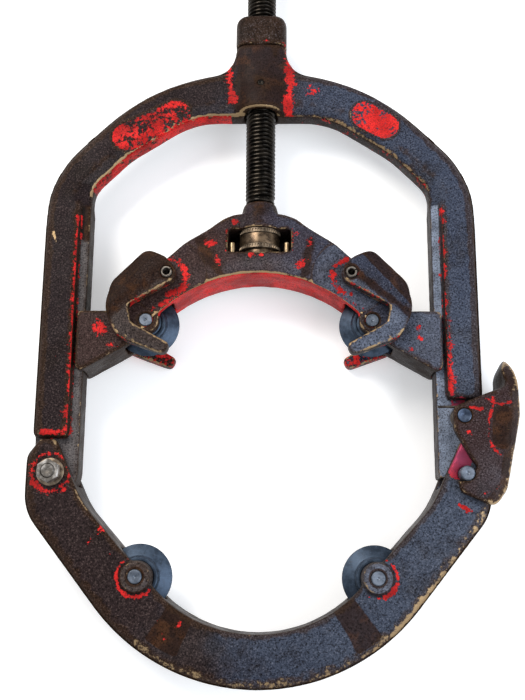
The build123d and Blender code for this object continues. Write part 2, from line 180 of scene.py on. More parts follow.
def wire(name, path, r, n=10):
    """A round wire along a list of points, its ends closed."""
    verts, faces = [], []
    previous = None
    for i, p in enumerate(path):
        p = Vector(p)
        ahead = Vector(path[min(i + 1, len(path) - 1)]) - Vector(path[max(i - 1, 0)])
        ahead.normalize()
        side = previous if previous else (Vector((0, 0, 1)) if abs(ahead.z) < 0.9 else Vector((1, 0, 0)))
        side = (side - ahead * side.dot(ahead)).normalized()
        previous = side
        other = ahead.cross(side)
        verts += [p + (side * cos(2 * pi * k / n) + other * sin(2 * pi * k / n)) * r for k in range(n)]
        if i:
            a, b = (i - 1) * n, i * n
            faces += [(a + k, a + (k + 1) % n, b + (k + 1) % n, b + k) for k in range(n)]
    last = (len(path) - 1) * n
    faces += [tuple(range(n)), tuple(range(last, last + n))]
    return add_object(name, [tuple(v) for v in verts], faces, 50)


# ------------------------------------------------------------------ castings
def to_line(p, a, b):
    """Distance in the plan of every point from a line between two plan points."""
    a, b = np.array(a, float), np.array(b, float)
    d = b - a
    t = np.clip(((p[:, :2] - a) @ d) / (d @ d), 0, 1)
    return np.linalg.norm(p[:, :2] - a - t[:, None] * d, axis=1)


def to_path(p, points):
    """Distance in the plan of every point from a path."""
    return np.min([to_line(p, a, b) for a, b in zip(points, points[1:])], axis=0)


def to_point(p, c):
    """Distance in the plan of every point from a plan point."""
    return np.hypot(p[:, 0] - c[0], p[:, 1] - c[1])


def near(distance, width):
    """1 at no distance, 0 from a width on."""
    return np.clip(1 - distance / width, 0, 1)


def in_pad(p, c, half_length, half_width, angle):
    """Distance of every point inside a long rounded pad from its edge, negative outside."""
    a = radians(angle)
    x = (p[:, 0] - c[0]) * cos(a) + (p[:, 1] - c[1]) * sin(a)
    y = -(p[:, 0] - c[0]) * sin(a) + (p[:, 1] - c[1]) * cos(a)
    x = np.maximum(np.abs(x) - (half_length - half_width), 0)
    return half_width - np.hypot(x, y)


def set_value(mesh, name, values):
    """Keep one number per vertex for the materials to read."""
    mesh.attributes.new(name, "FLOAT", "POINT").data.foreach_set("value", values.astype(np.float32))


def averaged(co, ends, weight, rounds):
    """Move every vertex half way to its neighbours' middle, times its weight, some rounds over."""
    a, b = ends[:, 0], ends[:, 1]
    count = np.bincount(ends.ravel(), minlength=len(co))[:, None]
    for _ in range(rounds):
        total = np.stack([np.bincount(a, co[b, k], len(co)) + np.bincount(b, co[a, k], len(co))
                          for k in range(3)], axis=1)
        co = co + (total / count - co) * 0.5 * weight
    return co


def casting(node, material, paint=None, voxel=1.0, rounds=9, lumps=0.10, shape=None, soft=None):
    """Recast a node as a finer skin: rounded edges, an uneven surface, and its wear and paint."""
    bm = bmesh.new()
    bm.from_mesh(frame["nodes"][node].data)
    bmesh.ops.remove_doubles(bm, verts=bm.verts, dist=1e-6)
    rough = bpy.data.meshes.new(node + "_rough")
    bm.to_mesh(rough)
    bm.free()
    obj = bpy.data.objects.new(node + "_cast", rough)
    bpy.context.scene.collection.objects.link(obj)
    remesh = obj.modifiers.new("skin", "REMESH")
    remesh.mode, remesh.voxel_size = "VOXEL", voxel * MM
    mesh = bpy.data.meshes.new_from_object(obj.evaluated_get(bpy.context.evaluated_depsgraph_get()))
    obj.modifiers.clear()
    obj.data = mesh
    bpy.data.meshes.remove(rough)
    mesh.name = node + "_cast"

    count = len(mesh.vertices)
    co = np.empty(count * 3)
    mesh.vertices.foreach_get("co", co)
    co = co.reshape(-1, 3) / MM
    ends = np.empty(len(mesh.edges) * 2, dtype=np.int64)
    mesh.edges.foreach_get("vertices", ends)
    ends = ends.reshape(-1, 2)
    one = np.ones((count, 1))
    co = averaged(co, ends, one, 3)
    co = averaged(co, ends, one if soft is None else soft(co)[:, None], rounds)

    def normals():
        """Put the points back into the mesh and read its normals."""
        mesh.vertices.foreach_set("co", (co * MM).ravel())
        mesh.update()
        n = np.empty(count * 3)
        mesh.vertices.foreach_get("normal", n)
        return n.reshape(-1, 3)

    n = normals()
    if shape:
        co = shape(co, n)
        n = normals()
    bulge = np.sum((co - averaged(co, ends, one, 14)) * n, axis=1)
    if lumps:
        seed = Vector((len(node) * 3.1, 0, 0))
        grain = np.array([noise.noise(Vector(v) * 0.22 + seed) + 0.8 * noise.noise(Vector(v) * 0.07 + seed)
                          for v in co])
        grain *= np.clip((to_point(co, HINGE) - 26) / 8, 0, 1)
        co = np.clip(co + n * (grain * lumps)[:, None], *(np.array(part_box(node)) / MM))
        normals()
    set_value(mesh, "wear", np.clip(bulge / 0.45, 0, 1))
    set_value(mesh, "hollow", np.clip(-bulge / 0.35, 0, 1))
    marks = paint(co, n) if paint else {}
    for name in ("paint", "plum", "pale", "stain", "shine"):
        usual = USUAL_SHINE if name == "shine" else 0.0
        set_value(mesh, name, marks.get(name, np.full(count, usual)))
    mesh.shade_smooth()
    return stand_for(obj, node, material)


# ------------------------------------------------------------------ materials
class Shade:
    """A node material built up from small calls. Every pattern is in the object's own coordinates."""

    def __init__(self, name):
        self.material = bpy.data.materials.new(name)
        self.material.use_nodes = True
        self.tree = self.material.node_tree
        self.tree.nodes.clear()
        out = self.tree.nodes.new("ShaderNodeOutputMaterial")
        self.bsdf = self.tree.nodes.new("ShaderNodeBsdfPrincipled")
        self.tree.links.new(self.bsdf.outputs[0], out.inputs["Surface"])
        self.place = self.tree.nodes.new("ShaderNodeTexCoord").outputs["Object"]

    def put(self, socket, value):
        if isinstance(value, bpy.types.NodeSocket):
            self.tree.links.new(value, socket)
        elif isinstance(value, tuple) and len(value) == 3 and socket.type == "RGBA":
            socket.default_value = (*value, 1)
        else:
            socket.default_value = value

    def add(self, kind, out=0, **inputs):
        node = self.tree.nodes.new("ShaderNode" + kind)
        for key, value in inputs.items():
            if key in node.inputs:
                self.put(node.inputs[key], value)
            else:
                setattr(node, key, value)
        return node.outputs[out]

    def maths(self, operation, a, b=0.0, clamp=False):
        node = self.tree.nodes.new("ShaderNodeMath")
        node.operation, node.use_clamp = operation, clamp
        self.put(node.inputs[0], a)
        self.put(node.inputs[1], b)
        return node.outputs[0]

    def noise(self, scale, detail=3.0, rough=0.55, shift=0.0):
        where = self.place
        if shift:
            where = self.add("Mapping", Vector=where, Location=(shift, shift * 0.7, -shift))
        return self.add("TexNoise", Vector=where, Scale=scale, Detail=detail, Roughness=rough)

    def step(self, value, low, high, to_low=0.0, to_high=1.0):
        node = self.tree.nodes.new("ShaderNodeMapRange")
        node.interpolation_type = "SMOOTHSTEP"
        for key, v in zip(("Value", "From Min", "From Max", "To Min", "To Max"),
                          (value, low, high, to_low, to_high)):
            self.put(node.inputs[key], v)
        return node.outputs[0]

    def mix(self, share, a, b, mode="MIX"):
        node = self.tree.nodes.new("ShaderNodeMix")
        node.data_type, node.blend_type = "RGBA", mode
        self.put(node.inputs["Factor"], share)
        self.put(node.inputs["A"], a)
        self.put(node.inputs["B"], b)
        return node.outputs["Result"]

    def vary(self, amount, *noise):
        """Noise about zero, half an amount each way."""
        return self.maths("MULTIPLY", self.maths("SUBTRACT", self.noise(*noise), 0.5), amount)

    def number(self, name):
        """What casting() left on the vertices under a name."""
        return self.add("Attribute", "Fac", attribute_name=name)

    def axis(self, index, source=None):
        return self.add("SeparateXYZ", index, Vector=source or self.place)

    def upright(self):
        """0 on faces that look along Z, 1 on side walls."""
        normal = self.add("TexCoord", "Normal")
        return self.step(self.maths("ABSOLUTE", self.axis(2, normal)), 0.85, 0.45)

    def bump(self, height, distance, strength=1.0):
        node = self.tree.nodes.new("ShaderNodeBump")
        node.inputs["Distance"].default_value = distance
        node.inputs["Strength"].default_value = strength
        self.put(node.inputs["Height"], height)
        if self.bsdf.inputs["Normal"].is_linked:
            self.tree.links.new(self.bsdf.inputs["Normal"].links[0].from_socket, node.inputs["Normal"])
        self.put(self.bsdf.inputs["Normal"], node.outputs[0])

    def finish(self, **inputs):
        for key, value in inputs.items():
            self.put(self.bsdf.inputs[key.replace("_", " ")], value)
        return self.material


# GILT also paints highlight lines along some rims, on top of real rubbed edges.
GILT = (0.30, 0.205, 0.11)                # bare metal where an edge is rubbed, under old oil
RED, PLUM = (0.66, 0.022, 0.020), (0.20, 0.035, 0.075)
RED_SHADE, RED_DIRT = (0.33, 0.011, 0.010), (0.03, 0.008, 0.008)
# The last of these darkens the hollows as painted shade.
RUST_DEEP, EDGE_BROWN, HOLLOW_SHADE = (0.009, 0.0045, 0.003), (0.030, 0.014, 0.006), (0.008, 0.0055, 0.0045)
OIL_DARK, OIL_RUST = (0.018, 0.007, 0.0035), (0.048, 0.018, 0.006)
# Pale colours: bright rubbed iron, and on flat faces a painted sheen of the sky, bluish on the latch side.
RUBBED_AND_SHEEN_BROWN, RUBBED_AND_SKY_SHEEN_BLUE = (0.165, 0.152, 0.150), (0.220, 0.260, 0.340)
GLINT_BROWN, GLINT_BLUE = (0.066, 0.048, 0.042), (0.070, 0.072, 0.085)
PIT_TINT = (0.10, 0.07, 0.06)
USUAL_SHINE = 0.35


def iron(name, brown, sheen_tint, turn=(-0.06, 0.07), side=(0.020, 0.010, 0.005), edge=0.75):
    """Worn cast iron, brown on the hinge side and bluer on the latch side, with remains of paint. The
    bluish tint on the latch side is a painted reflection of the sky.

    It reads what casting() leaves on the vertices: wear and hollow from the shape (hollows darken as
    painted shade), and paint, plum (darker paint), pale (bright rubbed iron, and on flat faces a painted
    sheen of the sky), stain (brown oil) and shine (how readily an edge is rubbed bare, and where a painted
    highlight line runs along a rim).
    turn is where brown turns to the painted sky tint along X, in metres; side is the side walls' colour.
    """
    s = Shade(name)
    # Painted sky reflection: the colour turns from brown to the bluish sheen tint along X.
    sky_sheen_share = s.step(s.maths("ADD", s.axis(0), s.vary(0.22, 16, 4, 0.6)), *turn)
    base = s.mix(sky_sheen_share, brown, sheen_tint)
    base = s.mix(s.step(s.noise(30, 5, 0.65, 3.0), 0.48, 0.68, 0, 0.7), base, RUST_DEEP)
    # pale brightens rubbed iron, and paints the sky's sheen on flat faces.
    pale = s.maths("MULTIPLY", s.number("pale"), s.step(s.noise(80, 5, 0.65, 6.0), 0.3, 0.62, 0.45, 1.0))
    base = s.mix(pale, base, s.mix(sky_sheen_share, RUBBED_AND_SHEEN_BROWN, RUBBED_AND_SKY_SHEEN_BLUE))
    soak = s.maths("ADD", s.number("stain"), s.vary(0.9, 110, 5, 0.62, 8.0))
    soak = s.step(soak, 0.38, 0.66, 0, 0.85)
    base = s.mix(soak, base, s.mix(s.step(s.noise(70, 4, 0.6, 4.0), 0.5, 0.66), OIL_DARK, OIL_RUST))
    base = s.mix(s.maths("MULTIPLY", s.upright(), 0.85), base, side)
    rub = s.maths("ADD", s.number("wear"), s.vary(1.2, 140, 4, 0.6, 7.0))
    edges = s.maths("MULTIPLY", s.step(rub, 0.18, 0.5, 0, 0.7), s.maths("SUBTRACT", 1.0, pale, True))
    base = s.mix(edges, base, EDGE_BROWN)

    grain = s.noise(900, 4, 0.75)
    glint = s.maths("MULTIPLY", s.step(grain, 0.54, 0.66, 0, 0.9), s.maths("SUBTRACT", 1.0, soak))
    base = s.mix(glint, base, s.mix(sky_sheen_share, GLINT_BROWN, GLINT_BLUE), "ADD")
    base = s.mix(s.step(grain, 0.50, 0.38, 0, 0.95), base, PIT_TINT, "MULTIPLY")
    # Painted shade: hollows and creases darken towards near black.
    hollow = s.maths("MULTIPLY", s.number("hollow"), s.maths("SUBTRACT", 1.0, s.number("pale"), True))
    base = s.mix(s.step(hollow, 0.3, 0.95, 0, 0.8), base, HOLLOW_SHADE)

    # Bare gilt edges: rubbed metal, and along some rims a painted highlight line (set by shine).
    rub = s.maths("ADD", rub, s.vary(1.3, 420, 4, 0.7, 5.0))
    shine = s.maths("SUBTRACT", s.number("shine"), USUAL_SHINE)
    bare = s.step(s.maths("ADD", rub, s.maths("MULTIPLY", shine, 0.9)), edge, edge + 0.25)
    base = s.mix(bare, base, GILT)

    flake = s.maths("ADD", s.maths("MULTIPLY", s.noise(420, 5, 0.68, 1.3), 0.8),
                    s.maths("MULTIPLY", s.noise(95, 4, 0.6, 2.1), 0.7))
    red = s.step(s.maths("ADD", s.number("paint"), s.maths("SUBTRACT", flake, 0.75)), 0.47, 0.52)
    coat = s.mix(s.step(s.noise(60, 3, 0.5, 9.0), 0.35, 0.65), RED, RED_SHADE)
    coat = s.mix(s.step(grain, 0.50, 0.62, 0, 0.85), coat, RED_DIRT)
    base = s.mix(red, base, s.mix(s.number("plum"), coat, PLUM))

    s.bump(s.maths("ADD", grain, s.noise(260, 4, 0.65, 7.5)), 0.00045, 0.6)
    s.bump(red, 0.00018, 0.8)
    rough = s.step(s.noise(60, 4, 0.6, 4.0), 0.3, 0.7, 0.34, 0.58)
    rough = s.maths("SUBTRACT", rough, s.maths("MULTIPLY", bare, 0.08))
    return s.finish(Base_Color=base, Roughness=rough, Metallic=s.maths("MULTIPLY", bare, 0.6),
                    Specular_IOR_Level=0.07)


def steel(name, tone, dark, rough=(0.28, 0.45), spots=0.4, stain=(0.05, 0.035, 0.022)):
    """Ground or turned steel: fine marks from grinding, stains and scuffs."""
    s = Shade(name)
    mottle = s.noise(180, 4, 0.62)
    base = s.mix(s.step(mottle, 0.35, 0.68), dark, tone)
    base = s.mix(s.step(s.noise(420, 4, 0.7, 2.0), 0.58, 0.72, 0, spots), base, stain)
    marks = s.noise(1200, 3, 0.7, 1.0)
    base = s.mix(s.step(marks, 0.55, 0.7, 0, 0.3), base, tuple(min(1, c * 1.7) for c in tone))
    s.bump(marks, 0.00006, 0.5)
    s.bump(mottle, 0.00010, 0.35)
    return s.finish(Base_Color=base, Roughness=s.step(mottle, 0.3, 0.7, *rough), Metallic=0.85)


# Each iron's second colour is its painted sky reflection on the latch side.
BROWN, BLUE_SKY_SHEEN = (0.0145, 0.0085, 0.0095), (0.027, 0.034, 0.057)
IRON_FRAME = iron("iron_frame", BROWN, BLUE_SKY_SHEEN)
IRON_GATE = iron("iron_gate", (0.0195, 0.0115, 0.0115), (0.027, 0.034, 0.054), turn=(-0.075, 0.005))
IRON_SLIDE = iron("iron_slide", (0.036, 0.019, 0.017), (0.034, 0.037, 0.058))
IRON_GUIDE = iron("iron_guide", (0.019, 0.0095, 0.007), (0.028, 0.033, 0.054), edge=0.62)
IRON_LATCH = iron("iron_latch", (0.029, 0.015, 0.015), (0.033, 0.018, 0.018), turn=(0.10, 0.22), edge=0.66)
IRON_NUT = iron("iron_nut", (0.022, 0.011, 0.006), (0.028, 0.014, 0.008), side=(0.022, 0.012, 0.007))
IRON_HANDLE = iron("iron_handle", (0.022, 0.015, 0.013), (0.026, 0.022, 0.024))
STEEL_PIN = steel("steel_pin", (0.17, 0.195, 0.24), (0.07, 0.085, 0.11), (0.4, 0.55))
STEEL_DARK_PIN = steel("steel_dark_pin", (0.075, 0.10, 0.15), (0.03, 0.042, 0.07))
STEEL_WHEEL = steel("steel_wheel", (0.060, 0.085, 0.125), (0.028, 0.040, 0.060), (0.38, 0.55), spots=0.55,
                    stain=(0.03, 0.028, 0.03))
STEEL_SCREW = steel("steel_screw", (0.030, 0.024, 0.018), (0.006, 0.005, 0.004), (0.2, 0.36), spots=0.4,
                    stain=(0.07, 0.05, 0.03))
STEEL_COLLAR = steel("steel_collar", (0.19, 0.13, 0.08), (0.055, 0.036, 0.023), (0.25, 0.4), spots=0.5)
STEEL_ROLL = steel("steel_roll", (0.30, 0.27, 0.23), (0.11, 0.09, 0.075))
STEEL_BOLT = steel("steel_bolt", (0.40, 0.38, 0.36), (0.13, 0.115, 0.10), (0.28, 0.48), spots=0.6)
STEEL_WASHER = steel("steel_washer", (0.30, 0.23, 0.16), (0.10, 0.075, 0.055), (0.3, 0.5), spots=0.6)
STEEL_BAR = steel("steel_bar", (0.13, 0.115, 0.105), (0.045, 0.038, 0.034), (0.3, 0.5), spots=0.6)
STEEL_SPRING = steel("steel_spring", (0.13, 0.11, 0.09), (0.04, 0.032, 0.028))
BRASS_POST = steel("brass_post", (0.50, 0.38, 0.24), (0.26, 0.18, 0.10), (0.3, 0.5))


# ------------------------------------------------------------------ paint on the castings
# Places are (x, y) in the plan, mm. A pad is its middle, half length, half width and angle.
LEFT_PAD = ((-82.2, 242.0), 31, 10, 27)
RIGHT_PAD = ((85.5, 245.5), 18.5, 9.6, -31)
LATCH_PAD = ((165.6, 11.5), 14.5, 6.2, 86)
RAIL = 131.6                              # the step between a rail and its leg
ARCH_Y, ARCH_R = 22.2, 101.3              # the slide's red arch wall: its middle and radius
YOKE_Y = -21.3                            # the middle of the gate's round yoke
FRAME_OUTLINE = soften([(156, 5), (156, 202.4), (83.8, 275.2), (25, 286)], [0, 72, 150, 0], 9)
GATE_OUTLINE = soften([(158.6, 3), (158.6, -45.3), (108.3, -108.1)], [0, 34, 0], 8)[:-1] + [
    (138.8 * cos(radians(a)), YOKE_Y + 138.8 * sin(radians(a))) for a in range(-39, -95, -5)]


def strongest(*marks):
    """The largest of several marks at every point."""
    return np.max(np.broadcast_arrays(*marks), axis=0)


def dabs(p, *marks):
    """Round dabs, each a place, a radius and a strength."""
    return strongest(*[near(to_point(p, place), radius) * share for place, radius, share in marks])


def strokes(p, *marks):
    """Strokes, each a path, a width to both sides and a strength."""
    return strongest(*[near(to_path(p, path), width) * share for path, width, share in marks])


def ring(p, place, radius, width):
    """A ring about a place."""
    return near(np.abs(to_point(p, place) - radius), width)


def folded(p):
    """Every point brought over to the +X side."""
    return np.column_stack([np.abs(p[:, 0]), p[:, 1:]])


def eye(side, y):
    """The place of a wheel's pin, on one side of the feed screw."""
    return side * WHEEL[0], y


def frame_paint(p, n):
    """The upper frame: red pads, rail steps and inner wall; bright rails, and a painted sky sheen on the
    right leg and the arch's inner chamfer; a brown boss; a gilt arch edge, partly a painted highlight line.
    """
    x, y, z = p.T
    hinge_side = x < 0
    front = (n[:, 2] > 0.3) & (z > 0)
    inward = -(n[:, 0] * x + n[:, 1] * (y - 120)) / np.hypot(x, y - 120)

    pads = [np.where((in_pad(p, *pad) > -0.6) & (z > 0), share, 0)
            for pad, share in ((LEFT_PAD, 0.51), (RIGHT_PAD, 0.56))]
    wall = (inward > 0.75) & (np.abs(z) < 9) & (y > 190) & (np.abs(x) < 128) & (np.abs(x) > 22)
    wall = np.where(wall, np.where(hinge_side, 0.58, 0.36), 0)
    seams = strongest(
        strokes(p, ([(-22, 262), (-25, 300)], 10, 0.66), ([(21, 252), (23, 303)], 13, 0.66),
                ([(-RAIL - 0.5, 8), (-RAIL - 0.5, 168)], 7, 0.56), ([(-RAIL - 3, 8), (-149, 8)], 8, 0.60),
                ([(-RAIL - 2, 10), (-RAIL - 2, 90)], 12, 0.45),
                ([(RAIL + 0.5, 40), (RAIL + 0.5, 174)], 6, 0.52),
                ([(RAIL + 2, 36), (RAIL + 3, 90)], 11, 0.52)),
        dabs(p, ((38, 266), 22, 0.50), ((-143, 60), 16, 0.40)))
    back = np.where((z < 0) & (n[:, 2] < -0.3), near(np.abs(np.abs(x) - RAIL), 8) * 0.4, 0)
    corner = np.where((in_pad(p, (139, 30.5), 5.5, 3.5, 20) > 0) & front, 0.6, 0)
    paint = strongest(*pads, wall, np.where(front, seams, 0), back, dabs(p, ((126, 181), 10, 0.34)), corner)

    # Pale: the rails, their flanks and the tongues are bright bare iron; on the right leg and the arch's
    # inner chamfer pale is a painted sheen of the sky.
    rail = (np.abs(x) > 123) & (np.abs(x) < RAIL + 0.3) & (z < 13) & (y < 178)
    rail = np.where(rail & front, np.where(x > 0, 1.0, np.where(y < 152, 0.62, 0.1)), 0)
    flank = np.where((np.abs(x) < 127) & (y < 176) & ~front, 0.35, 0)
    tongue = front & (z < 13) & (y < np.where(x > 0, 33, 5))
    tongue = np.where(tongue, np.where(x > 0, 0.8, 0.5), 0)
    leg = np.where(front & (x > 0), 0.05 + 0.10 * near(np.abs(y - 70), 70), 0)
    lip_sheen = np.where(front & (inward > 0.25) & (y > 195), np.where(hinge_side, 0.10, 0.08), 0)

    boss = np.where(y > 250, near(np.abs(x) - 15, 10) * 0.95, 0)
    runs = strokes(p, ([(-127, 176), (-127, 152)], 6, 1.0), ([(-100, 225), (-135, 185)], 16, 0.3))
    stain = strongest(boss, runs, strokes(folded(p), (FRAME_OUTLINE, 6, 0.8)))
    # Gilt along the arch's inner edge: rubbed metal with a painted highlight line, stronger on the hinge
    # side.
    rim = front & (inward > 0.62) & (inward < 0.93) & (y > 186)
    beside_pad = np.max([in_pad(p, *pad) for pad in (LEFT_PAD, RIGHT_PAD)], axis=0) > -4
    shine = np.where(rim, np.where(hinge_side, 1.3, 0.8), np.where(beside_pad, -1.0, -0.1))
    scratch = strokes(p, ([(-149, 154), (-147, 147)], 2.5, 1.8))
    return {"paint": paint, "pale": strongest(rail, flank, tongue, leg, lip_sheen), "stain": stain,
            "plum": dabs(p, ((139, 30.5), 9, 1.0)), "shine": strongest(shine, scratch)}


def slide_paint(p, n):
    """The slide: red arch wall, red round the guides, brown stains; a paler face on the latch side and
    round the guides, a painted sky sheen; a gilt arch edge, partly a painted highlight line.
    """
    x, y = p[:, 0], p[:, 1]
    front = n[:, 2] > 0.3
    out = np.hypot(x, y - ARCH_Y)
    marks = []
    for side, share in ((-1, 0.60), (1, 0.56)):
        inner = side * x < GUIDE[0] + 2
        marks.append(np.where(inner, ring(p, (side * GUIDE[0], GUIDE[1]), 13.0, 9) * share, 0))
        marks.append(strokes(p, ([(side * 57, 108), (side * 76, 96)], 9, share - 0.06)))
    marks.append(0.04 + dabs(p, ((-35, 146), 12, 0.62), ((-31, 133), 11, 0.60), ((36, 147), 11, 0.60),
                             ((29, 131), 11, 0.58), ((-18.5, 165), 7, 0.70), ((-6, 137.5), 6, 0.56),
                             ((2, 137), 5, 0.54), ((26, 155), 9, 0.48), ((112, 84), 7, 0.54),
                             ((113, 76), 6, 0.54), ((107, 68), 8, 0.50), ((-112, 82), 13, 0.66),
                             ((-104, 70), 10, 0.56), ((126, 53), 7, 0.50)))
    marks.append(np.where((y > 139) & (y < 160), near(np.abs(np.abs(x) - 24), 3) * 0.5, 0))
    wall = (np.abs(out - ARCH_R) < 1.6) & (y > 80) & (np.abs(n[:, 2]) < 0.6)
    paint = strongest(np.where(wall, 0.70, 0.0), np.where(front, strongest(*marks), 0))

    # Pale here is a painted sky sheen: round the guides, on the latch side and across the middle.
    guide_sheen = near(to_point(p, GUIDE) - 25, 3) * 0.17
    ear_sheen = np.where(x > 95, 0.20, 0)
    middle = near(np.abs(out - 108), 9) * near(np.abs(x), 70) * 0.20
    stain = strongest(strokes(p, ([(-42, 148), (-30, 126)], 12, 0.8), ([(37, 150), (33, 124)], 8, 0.85),
                              ([(82, 72), (125, 50)], 7, 0.8)),
                      np.where(y > 162, near(np.abs(x), 18) * 0.7, 0),
                      *[ring(p, eye(side, WHEEL[1]), 5.6, 1.5) for side in (-1, 1)])
    # Gilt along the arch edge: rubbed metal with a painted highlight line, stronger on the hinge side.
    rim = near(np.abs(out - ARCH_R - 1.2), 2.2) * np.where(x < 20, 1.2, 0.8)
    return {"paint": paint, "pale": np.where(front, strongest(guide_sheen, ear_sheen, middle), 0), "stain": stain,
            "shine": strongest(rim, strokes(p, ([(-82, 72), (-128, 48)], 5, 1.0)), 0.3)}


def across_fold(q):
    """Distance of every point of a guide above the fold between its upper part and its hook."""
    return (q[:, 0] - 84) * 0.62 + (q[:, 1] - 103) * 0.78


def past_bevel(q):
    """Distance of every point of a guide outside the start of its bevel."""
    return (q[:, 0] - 77.3) * 0.743 + (q[:, 1] - 131.4) * 0.668


def guide_paint(p, n):
    """A guide: brown above the fold, paler just below it with a painted sheen, red flecks round its pin,
    gilt inner edges that are partly a painted highlight line.
    """
    q, left = folded(p), p[:, 0] < 0
    y, z = p[:, 1], p[:, 2]
    across = across_fold(q)
    flecks = strongest(dabs(q, ((GUIDE[0] + 4, GUIDE[1] - 1), 14, 0.46), ((91, 108), 9, 0.40)),
                       strokes(q, ([(63, 113), (90, 98)], 6, 0.52), ([(70, 61), (104, 78)], 4, 0.44)),
                       np.where((z < 0) & (y < 80), 0.50, 0)) * np.where(left, 1.0, 0.92)
    # A painted sheen along the fold, stronger on the right guide.
    pale = near(across + 1, 3) * np.where(left, 0.16, 0.30)
    stain = strongest(np.where(left, 0.55, 0.0) * near(-across, 4),
                      near(-past_bevel(q), 3) * near(98 - y, 8),
                      near(np.abs(across - 4), 6) * np.where(left, 0.3, 0.9), ring(q, GUIDE, 5.2, 1.6))
    # Gilt along the throat and the inner edge: rubbed metal with a painted highlight line.
    throat = [(57, 116), (61, 115), (92, 97.5), (90, 85), (64, 70)]
    return {"paint": flecks, "pale": np.where(np.abs(z) > 20, pale, 0), "stain": stain,
            "shine": strongest(strokes(q, (throat, 3.5, 0.95), ([(66, 60), (106, 82)], 5, 0.9)), 0.1)}


def gate_paint(p, n):
    """The gate: red round bosses, bolt and catch; brown patches; paler towards the latch side, a painted
    sky sheen; bare edges along its outer latch side, partly a painted highlight line.
    """
    x, y, z = p.T
    front = n[:, 2] > 0.3
    marks, stain, tops = [], [], []
    for side, away, top in ((-1, 0.8, 0.35), (1, 0.3, 0.5)):
        c = eye(side, -WHEEL[1])
        angle = np.arctan2(y - c[1], (x - c[0]) * side)
        marks.append(ring(p, c, 13.0, 5) * (0.50 + 0.14 * np.cos(angle + away)))
        stain.append(ring(p, c, 5.8, 1.6))
        tops.append(np.where((z > 20.8) & (to_point(p, c) < 10.5), top, 0))
    marks.append(ring(p, HINGE, 13.0, 8) * 0.54)
    marks.append(np.where((in_pad(p, (139, -9), 15, 7, 70) > 0) & front, 0.75, 0))
    marks.append(strokes(p, ([(136, -40), (143, -45)], 5, 0.62)))
    flecks = ((-104, -58), (-112, -66), (-66, -118), (-50, -119), (45, -108), (-97, -74), (-60, -128),
              (-88, -62))
    marks.append(dabs(p, ((-131, -32), 9, 0.62), *[(place, 10, 0.50) for place in flecks]))
    paint = strongest(*marks) * np.where(front | (np.abs(z) > 20.6), 1.0, 0.6)

    turn, out = np.degrees(np.arctan2(y - YOKE_Y, x)), np.hypot(x, y - YOKE_Y)
    for middle, half, low, high in ((-55.8, 3.3, 102, 132), (-119.0, 4.2, 104, 128)):
        within = near(np.maximum(low - out, out - high), 3)
        stain.append(near(np.abs(turn - middle) - half, 2) * within * 1.1)
    stain.append(strokes(folded(p), (GATE_OUTLINE, 6, 0.7)))
    # Paler towards the latch side and along the bottom: a painted sky sheen; the boss tops are bright bare
    # iron.
    pale = np.clip((x - 20) / 800, 0, 0.14) + strokes(p, ([(-60, -132), (60, -132)], 26, 0.06))
    # Bare rubbed edges round the outer arc; the stroke along the lower latch side is also a painted
    # highlight line.
    shine = strongest(np.where((x > -80) & (out > 130), 0.6, 0.05),
                      strokes(p, ([(90, -125), (158, -50)], 8, 0.95), ([(-125, -30), (-95, -78)], 5, 0.4)))
    return {"paint": paint, "pale": strongest(np.where(front, pale, 0), *tops),
            "plum": dabs(p, ((139, -8), 16, 1.0)) ** 0.3, "stain": strongest(*stain), "shine": shine}


def latch_paint(p, n):
    """The latch: red cracked lines round its dark pad, bare metal along its rounded back that is partly a
    painted highlight line.
    """
    z = p[:, 2]
    lines = strongest(
        strokes(p, ([(155, 31), (160, 28), (165, 27), (172, 28.5)], 5.5, 0.54),
                ([(160, 26), (156.9, 17), (156, 4), (158.6, -3), (165, -9)], 4.2, 0.53),
                ([(144, 25), (152, 23.5)], 3.5, 0.66), ([(150, -34), (160, -30), (165, -22)], 3, 0.42)),
        dabs(p, ((159, 29), 9, 0.60), ((142.5, 8), 7, 0.56), ((150, 10), 18, 0.45)))
    back = to_path(p, [(176.5, 58), (178.5, 50), (179.5, 22), (168.5, -28), (160, -40)])
    stain = strongest(near(-in_pad(p, *LATCH_PAD), 1.0) * 1.3, near(to_point(p, LATCH_PIVOT) - 5, 1.8),
                      near(back - 7, 3) * 0.6)
    # Gilt along the rounded back: rubbed metal with a painted highlight line.
    return {"paint": lines * np.where(np.abs(z) > 18, 1.0, 0.5), "stain": stain,
            "pale": dabs(p, ((158, -24), 26, 0.15)), "shine": strongest(near(back, 9) ** 0.5, 0.3)}


def nut_paint(p, n):
    """The nut: paint left in the seam under its dome, brown oil all over."""
    return {"paint": near(np.abs(p[:, 1] - 310), 6) * 0.44, "stain": np.full(len(p), 0.3)}


# ------------------------------------------------------------------ castings as they are
def toward_middle(co, n, least):
    """-1 or 1 towards the middle plane on faces that look along Z, 0 on the others."""
    return np.where(np.abs(n[:, 2]) > least, -np.sign(co[:, 2]), 0)


def rolled(co, n, outline, width, depth):
    """Round the faces down towards an outline, given for the +X side."""
    away = to_path(folded(co), outline)
    co = co.copy()
    co[:, 2] += toward_middle(co, n, 0.2) * depth * near(away, width) ** 2
    return co


def soft_frame(co):
    """Legs and arch are well rounded; the rail ridges and the pads stay crisper."""
    ridge = (np.abs(co[:, 0]) < RAIL + 1.0) & (np.abs(co[:, 2]) < 10.8) & (co[:, 1] < 179)
    pads = [(in_pad(co, *pad) > -3) & (co[:, 2] > 5) for pad in (LEFT_PAD, RIGHT_PAD)]
    return np.where(ridge, 0.08, np.where(pads[0] | pads[1], 0.3, 1.0))


def soft_gate(co):
    """The pin bosses stay crisper than the yoke."""
    boss = to_point(folded(co), eye(1, -WHEEL[1]))
    return np.where(boss < 13.5, 0.3, 1.0)


